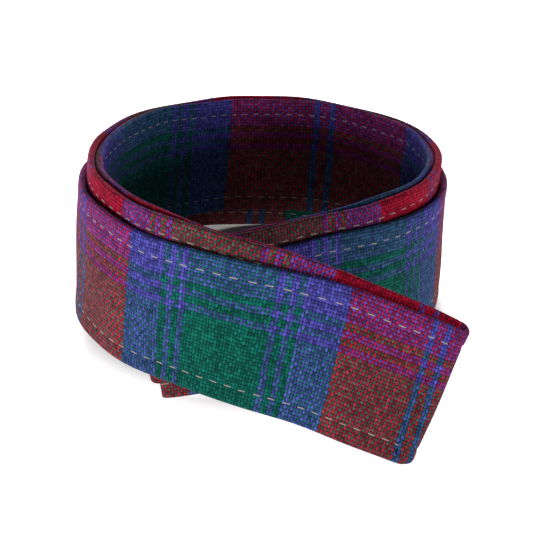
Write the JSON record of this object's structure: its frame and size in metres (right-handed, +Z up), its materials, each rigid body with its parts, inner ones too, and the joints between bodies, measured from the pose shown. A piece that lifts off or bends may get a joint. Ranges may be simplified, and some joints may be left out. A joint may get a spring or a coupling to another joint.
{
  "type": "rolled necktie",
  "caption": "Narrow square-ended wool tartan tie, folded in plies and curled into a standing ring with crossed ends that swing.",
  "frame": {"origin": "centre of the bounding box at the surface that the rolled tie stands on", "axes": "+Z up; the crossed ends are on the -Y side and the back of the ring is on the +Y side; +X is to the right seen from the crossed ends"},
  "size_m": [0.1138, 0.1358, 0.0601],
  "materials": {
    "wool_tartan": "plain-woven wool tartan",
    "interlining": "brushed woven interlining",
    "sewing_thread": "twisted sewing thread"
  },
  "bodies": {
    "ring": {"blade_back_ring": "wool_tartan", "blade_face_ring": "wool_tartan", "blade_interlining_ring": "interlining", "lower_topstitch_ring": "sewing_thread", "neck_back_ring": "wool_tartan", "neck_face_ring": "wool_tartan", "neck_interlining_ring": "interlining", "tail_back_ring": "wool_tartan", "tail_face_ring": "wool_tartan", "tail_interlining_ring": "interlining", "upper_topstitch_ring": "sewing_thread"},
    "outer_end": {"blade_back_outer_end": "wool_tartan", "blade_face_outer_end": "wool_tartan", "blade_interlining_outer_end": "interlining", "lower_topstitch_outer_end": "sewing_thread", "neck_back_outer_end": "wool_tartan", "neck_face_outer_end": "wool_tartan", "neck_interlining_outer_end": "interlining", "tail_back_outer_end": "wool_tartan", "tail_face_outer_end": "wool_tartan", "tail_interlining_outer_end": "interlining", "upper_topstitch_outer_end": "sewing_thread", "blade_neck_join": "wool_tartan"},
    "inner_end": {"blade_back_inner_end": "wool_tartan", "blade_face_inner_end": "wool_tartan", "blade_interlining_inner_end": "interlining", "lower_topstitch_inner_end": "sewing_thread", "neck_back_inner_end": "wool_tartan", "neck_face_inner_end": "wool_tartan", "neck_interlining_inner_end": "interlining", "tail_back_inner_end": "wool_tartan", "tail_face_inner_end": "wool_tartan", "tail_interlining_inner_end": "interlining", "upper_topstitch_inner_end": "sewing_thread", "neck_tail_join": "wool_tartan"}
  },
  "joints": [
    {"name": "outer_end_bend", "type": "hinge", "parent": "ring", "child": "outer_end", "pos_m": [-0.04738, -0.03042, 0.03464], "axis": [-0.0802, -0.1137, -0.9903], "range_deg": [0, 70]},
    {"name": "inner_end_bend", "type": "hinge", "parent": "ring", "child": "inner_end", "pos_m": [0.04344, 0.00057, 0.03029], "axis": [0.0269, -0.0739, -0.9969], "range_deg": [0, 25]}
  ]
}
